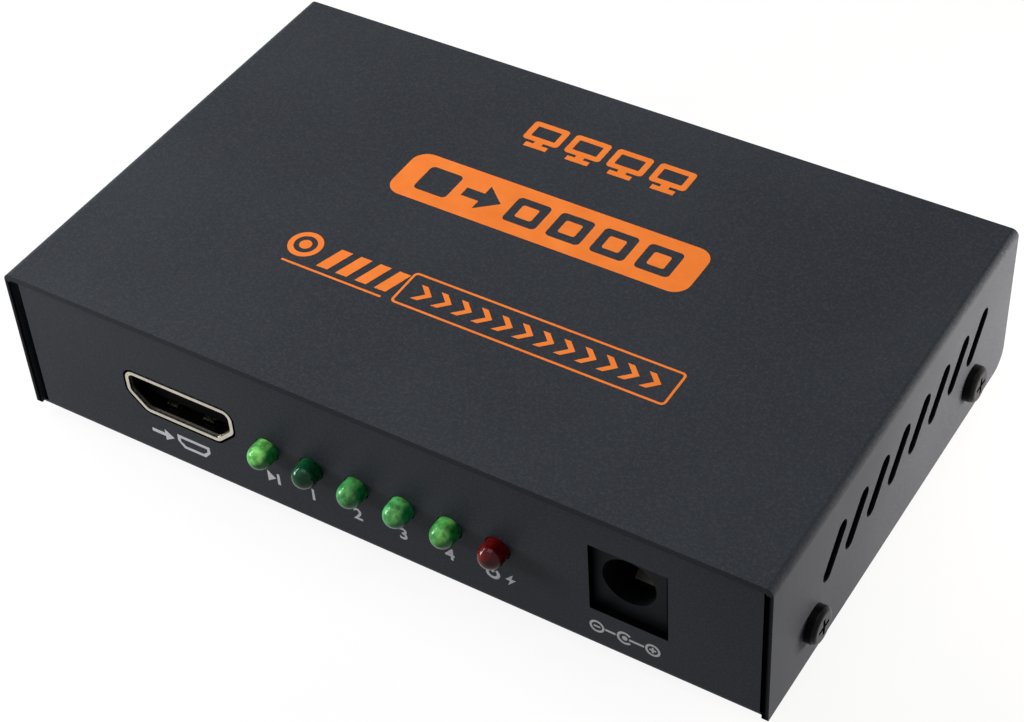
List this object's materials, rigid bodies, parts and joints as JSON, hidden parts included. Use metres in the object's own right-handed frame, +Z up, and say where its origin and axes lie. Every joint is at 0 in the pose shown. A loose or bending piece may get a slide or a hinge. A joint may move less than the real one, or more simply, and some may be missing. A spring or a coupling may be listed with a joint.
{
  "type": "video splitter",
  "caption": "Small video splitter in a folded black steel box, with an input socket, a row of indicator lamps and a power inlet in front and output sockets behind.",
  "frame": {"origin": "middle of the box on the surface that its feet stand on", "axes": "+X to the right seen from the front, +Y from the front panel to the back panel, +Z up"},
  "size_m": [0.099, 0.0641, 0.0215],
  "materials": {
    "base_plastic": "black moulded base",
    "black_aluminium": "black anodised extrusion",
    "black_plastic": "moulded black plastic",
    "black_powder_coat": "fine satin powder coat on folded steel sheet",
    "black_screw_steel": "glossy black oxide on steel screws",
    "board_laminate": "green solder mask on glass-epoxy laminate",
    "can_aluminium": "drawn aluminium can",
    "capacitor_ceramic": "tan sintered ceramic",
    "chip_plastic": "moulded black package",
    "contact_metal": "gold-plated contact strips",
    "crystal_steel": "drawn steel can",
    "die": "semiconductor die",
    "ferrite": "sintered ferrite",
    "fuse_green": "green coated laminate",
    "gold_flashed_steel": "pale gold flash on folded steel",
    "green_lens": "clear tinted green epoxy",
    "grey_ink": "screen-printed pale grey ink",
    "jack_plastic": "moulded black plastic",
    "nickel_plated_brass": "bright nickel plate on brass",
    "orange_ink": "screen-printed orange ink",
    "plated_steel": "zinc-plated steel",
    "red_lens": "clear tinted red epoxy",
    "resistor_black": "black glazed ceramic",
    "rubber": "moulded rubber",
    "thermal_pad": "soft grey silicone pad",
    "tinned_metal": "tinned leads"
  },
  "bodies": {
    "root": {"board_screws": "plated_steel", "board_standoffs": "plated_steel", "bottom_tray": "black_powder_coat", "capacitor_bases": "base_plastic", "capacitor_cans": "can_aluminium", "capacitor_leads": "tinned_metal", "chip_capacitors": "capacitor_ceramic", "chip_resistors": "resistor_black", "controller_chip": "chip_plastic", "controller_chip_legs": "tinned_metal", "cover_screws": "black_screw_steel", "crystal_can": "crystal_steel", "crystal_leads": "tinned_metal", "diode_leads": "tinned_metal", "heat_sink": "black_aluminium", "inductor_terminals": "tinned_metal", "input_diode": "chip_plastic", "input_lamp_lens": "green_lens", "input_socket_body": "black_plastic", "input_socket_contacts": "contact_metal", "input_socket_shell": "gold_flashed_steel", "lamp_dies": "die", "lamp_leads": "tinned_metal", "main_board": "board_laminate", "memory_chip": "chip_plastic", "memory_chip_legs": "tinned_metal", "output_1_lamp_lens": "green_lens", "output_1_socket_body": "black_plastic", "output_1_socket_contacts": "contact_metal", "output_1_socket_shell": "gold_flashed_steel", "output_2_lamp_lens": "green_lens", "output_2_socket_body": "black_plastic", "output_2_socket_contacts": "contact_metal", "output_2_socket_shell": "gold_flashed_steel", "output_3_lamp_lens": "green_lens", "output_3_socket_body": "black_plastic", "output_3_socket_contacts": "contact_metal", "output_3_socket_shell": "gold_flashed_steel", "output_4_lamp_lens": "green_lens", "output_4_socket_body": "black_plastic", "output_4_socket_contacts": "contact_metal", "output_4_socket_shell": "gold_flashed_steel", "power_inductor": "ferrite", "power_jack_housing": "jack_plastic", "power_jack_pin": "nickel_plated_brass", "power_jack_spring": "nickel_plated_brass", "power_jack_switch_blade": "nickel_plated_brass", "power_lamp_lens": "red_lens", "regulator_legs": "tinned_metal", "regulators": "chip_plastic", "resettable_fuse": "fuse_green", "rubber_feet": "rubber", "splitter_chip": "chip_plastic", "splitter_chip_legs": "tinned_metal", "surge_arrays": "chip_plastic", "thermal_pad": "thermal_pad", "top_cover": "black_powder_coat"}
  },
  "joints": []
}
